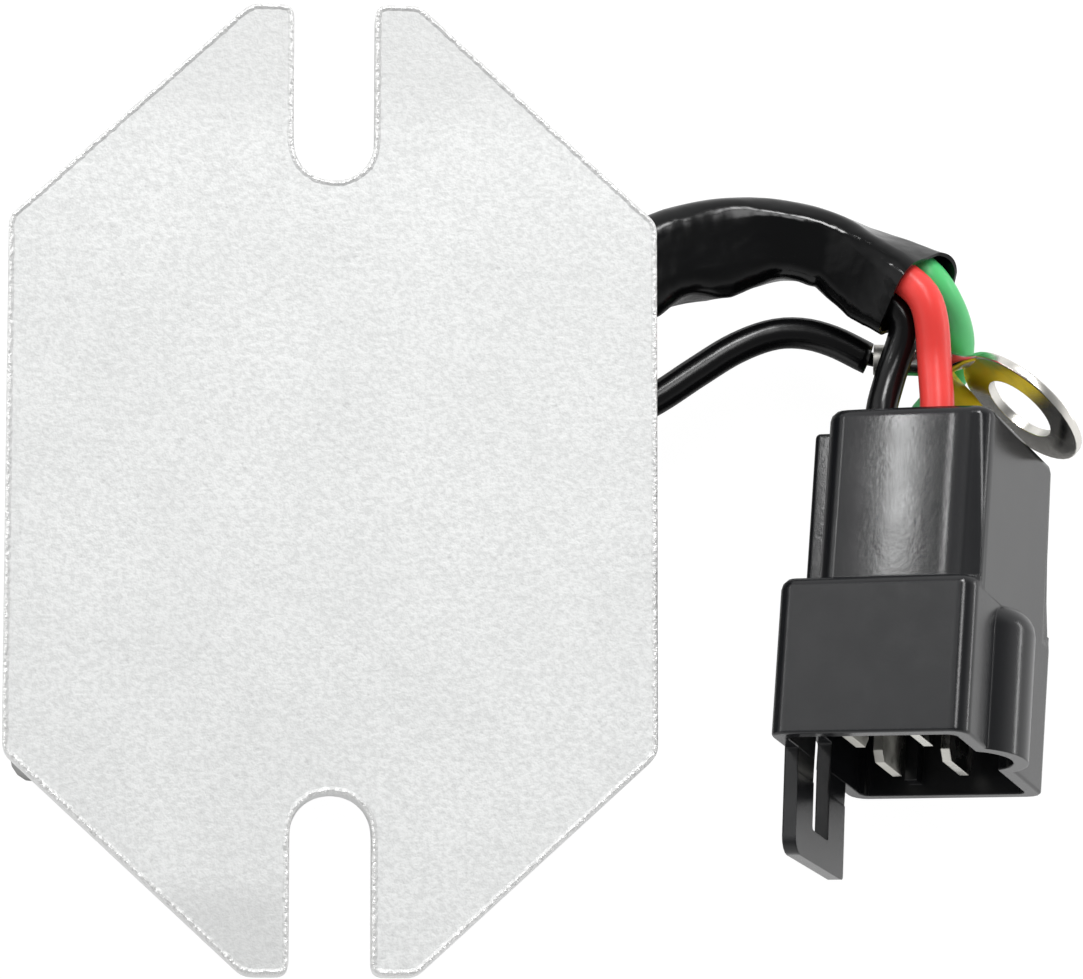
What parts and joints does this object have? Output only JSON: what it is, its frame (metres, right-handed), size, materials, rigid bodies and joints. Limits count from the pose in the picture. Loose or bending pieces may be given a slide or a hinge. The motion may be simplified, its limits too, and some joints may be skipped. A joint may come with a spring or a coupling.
{
  "type": "voltage regulator",
  "caption": "Voltage regulator with a slotted mounting plate over a finned body, a sleeved wire pigtail with a tab connector, and a ground wire with a ring terminal.",
  "frame": {"origin": "under the middle of the mounting plate, at the level of the fin tips that the regulator lies on", "axes": "+X across the plate towards the wires, +Y along the plate from slot to slot, +Z out of the mounting face"},
  "size_m": [0.0904, 0.0806, 0.0285],
  "materials": {
    "bare_aluminium": "tumbled",
    "cast_aluminium": "as cast",
    "steel": "plain",
    "tinned_copper": "bright tinned",
    "tinned_brass": "tinned",
    "black_plastic": "satin moulded",
    "sleeve_black": "glossy shrink tube",
    "rubber": "matt",
    "black_wire": "smooth insulation",
    "red_wire": "smooth insulation",
    "green_wire": "smooth insulation",
    "yellow_wire": "smooth insulation",
    "potting": "cast resin",
    "epoxy_case": "moulded epoxy",
    "board_green": "solder mask",
    "pad_grey": "matt",
    "sealant_grey": "matt",
    "can_sleeve": "shrink sleeve"
  },
  "bodies": {
    "root": {"mounting_plate": "bare_aluminium", "heat_sink_housing": "cast_aluminium", "rim_gasket": "sealant_grey", "thermal_pad": "pad_grey", "thyristor_1": "epoxy_case", "thyristor_2": "epoxy_case", "rectifier_diode_1": "epoxy_case", "rectifier_diode_2": "epoxy_case", "clamp_bar": "steel", "clamp_screw_1": "steel", "clamp_screw_2": "steel", "circuit_board": "board_green", "control_chip": "epoxy_case", "gate_resistor_1": "epoxy_case", "gate_resistor_2": "epoxy_case", "zener_diode": "epoxy_case", "smoothing_capacitor": "can_sleeve", "potting_compound": "potting", "wire_exit_grommet": "rubber", "harness_sleeve": "sleeve_black", "black_wire": "black_wire", "red_wire": "red_wire", "green_wire": "green_wire", "yellow_wire": "yellow_wire", "ground_wire": "black_wire", "ring_terminal": "tinned_copper", "connector_housing": "black_plastic", "tab_terminal_1": "tinned_brass", "tab_terminal_2": "tinned_brass", "tab_terminal_3": "tinned_brass", "tab_terminal_4": "tinned_brass"}
  },
  "joints": []
}
